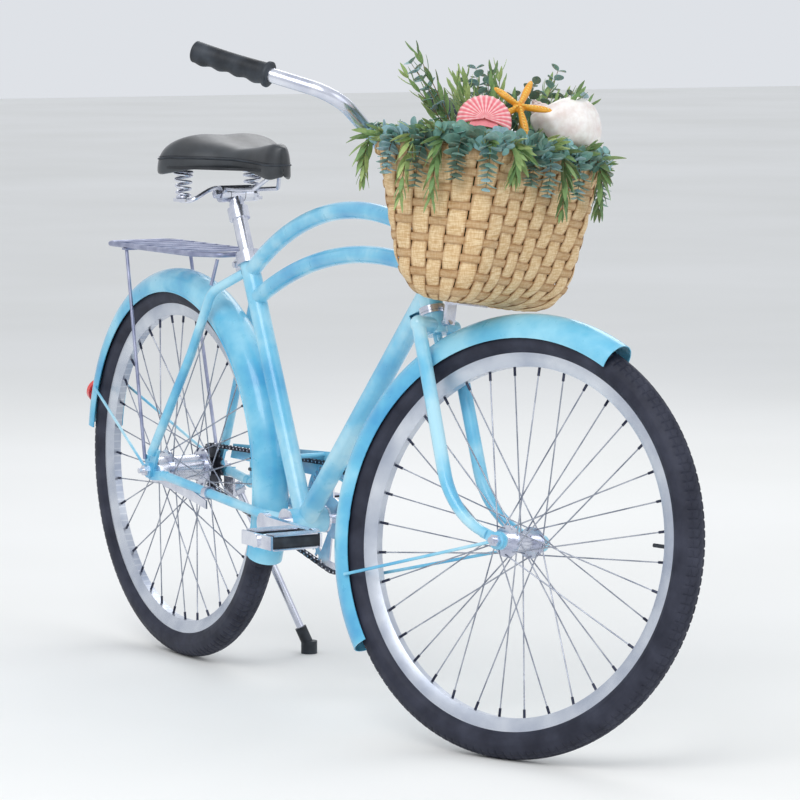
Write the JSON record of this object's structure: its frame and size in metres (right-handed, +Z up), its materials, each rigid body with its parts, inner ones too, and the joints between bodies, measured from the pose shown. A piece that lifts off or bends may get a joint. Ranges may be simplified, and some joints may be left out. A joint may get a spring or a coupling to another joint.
{
  "type": "bicycle",
  "caption": "Upright single-rider cruiser bicycle with curved twin top tubes, swept handlebar, fenders, rear rack, chain guard, side stand and a woven front basket of shells and greenery.",
  "frame": {"origin": "the rear tyre's contact with the ground, in the bicycle's middle plane", "axes": "+X forward along the bicycle, +Y to the rider's left, +Z up"},
  "size_m": [1.7008, 0.5977, 1.0716],
  "materials": {
    "frame_paint": "gloss enamel, light blue",
    "fender_paint": "gloss enamel, slightly deeper blue",
    "bright_steel": "polished plate",
    "rack_steel": "satin galvanised rod",
    "rim_alloy": "satin",
    "dark_steel": "dark oiled steel",
    "tyre_rubber": "matt black with a navy cast",
    "black_rubber": "satin black",
    "saddle_shell": "matt",
    "saddle_vinyl": "smooth black vinyl with a grey sheen",
    "reflector_lens": "red prismatic lens",
    "wicker": "woven flat splints",
    "strap_leather": "tan strap",
    "foam": "dense floral foam",
    "pick_wood": "raw",
    "shell": "dried sea shells"
  },
  "bodies": {
    "frame": {"frame_tubes": "frame_paint", "rear_stays": "frame_paint", "seat_collar": "bright_steel", "headset_cups": "bright_steel", "bracket_cups": "bright_steel", "rear_axle": "bright_steel", "rear_fender": "fender_paint", "rear_fender_stays": "frame_paint", "rear_reflector": "reflector_lens", "rack_deck": "rack_steel", "rack_struts": "rack_steel", "chain": "dark_steel", "chain_guard": "fender_paint", "coaster_arm": "bright_steel", "kickstand_bracket": "bright_steel"},
    "kickstand": {"kickstand_leg": "bright_steel", "kickstand_foot": "black_rubber"},
    "seat_post": {"seat_post": "bright_steel", "saddle_clamp": "bright_steel"},
    "saddle": {"rail_clamps": "bright_steel", "saddle_rails": "bright_steel", "saddle_springs": "dark_steel", "saddle_base": "saddle_shell", "saddle_cover": "saddle_vinyl"},
    "steering": {"fork": "frame_paint", "headset_races": "bright_steel", "stem": "bright_steel", "handlebar": "bright_steel", "grip_left": "black_rubber", "grip_right": "black_rubber", "front_axle": "bright_steel", "front_fender": "fender_paint", "front_fender_stays": "frame_paint", "basket": "wicker", "basket_straps": "strap_leather", "basket_bracket": "bright_steel"},
    "front_wheel": {"front_tyre": "tyre_rubber", "front_rim": "rim_alloy", "front_spokes": "bright_steel", "front_nipples": "dark_steel", "front_hub": "bright_steel", "front_valve": "black_rubber"},
    "rear_wheel": {"rear_tyre": "tyre_rubber", "rear_rim": "rim_alloy", "rear_spokes": "bright_steel", "rear_nipples": "dark_steel", "rear_hub": "bright_steel", "rear_valve": "black_rubber"},
    "sprocket": {"sprocket": "dark_steel"},
    "crank": {"crank_axle": "bright_steel", "crank_arms": "bright_steel", "chainring": "bright_steel", "pedal_spindles": "bright_steel"},
    "pedal_left": {"pedal_left": "bright_steel", "pedal_left_treads": "black_rubber"},
    "pedal_right": {"pedal_right": "bright_steel", "pedal_right_treads": "black_rubber"},
    "arrangement": {"flower_foam": "foam", "shell_picks": "pick_wood", "seashells": "shell"}
  },
  "joints": [
    {"name": "steer", "type": "hinge", "parent": "frame", "child": "steering", "pos_m": [0.98522, 0, 0.29751], "axis": [-0.3665, 0, 0.9304], "range_deg": [-84, 36]},
    {"name": "front_wheel_spin", "type": "hinge", "parent": "steering", "child": "front_wheel", "pos_m": [1.04897, 0.03051, 0.32262], "axis": [-0.3784, 0.9135, -0.1491], "continuous": true},
    {"name": "rear_wheel_spin", "type": "hinge", "parent": "frame", "child": "rear_wheel", "pos_m": [0, 0, 0.326], "axis": [0, 1, 0], "continuous": true},
    {"name": "crank_spin", "type": "hinge", "parent": "frame", "child": "crank", "pos_m": [0.43304, 0, 0.285], "axis": [0, 1, 0], "continuous": true},
    {"name": "sprocket_spin", "type": "hinge", "parent": "frame", "child": "sprocket", "pos_m": [0, 0, 0.326], "axis": [0, 1, 0], "continuous": true},
    {"name": "pedal_left_spin", "type": "hinge", "parent": "crank", "child": "pedal_left", "pos_m": [0.26804, 0, 0.285], "axis": [0, 1, 0], "continuous": true},
    {"name": "pedal_right_spin", "type": "hinge", "parent": "crank", "child": "pedal_right", "pos_m": [0.59803, 0, 0.285], "axis": [0, 1, 0], "continuous": true},
    {"name": "seat_height", "type": "slide", "parent": "frame", "child": "seat_post", "axis": [-0.4226, 0, 0.9063], "range_m": [-0.045, 0.09]},
    {"name": "saddle_tilt", "type": "hinge", "parent": "seat_post", "child": "saddle", "pos_m": [0.1913, 0, 0.80741], "axis": [0, 1, 0], "range_deg": [-12, 12]},
    {"name": "kickstand_swing", "type": "hinge", "parent": "frame", "child": "kickstand", "pos_m": [0.03851, 0.08251, 0.28794], "axis": [0.2505, 0.8619, 0.4409], "range_deg": [0, 108]},
    {"name": "arrangement_lift", "type": "slide", "parent": "steering", "child": "arrangement", "axis": [-0.0295, 0.1491, 0.9884], "range_m": [0, 0.28]}
  ],
  "couplings": [
    {"joint": "sprocket_spin", "follows": "crank_spin", "ratio": 2.4444}
  ]
}
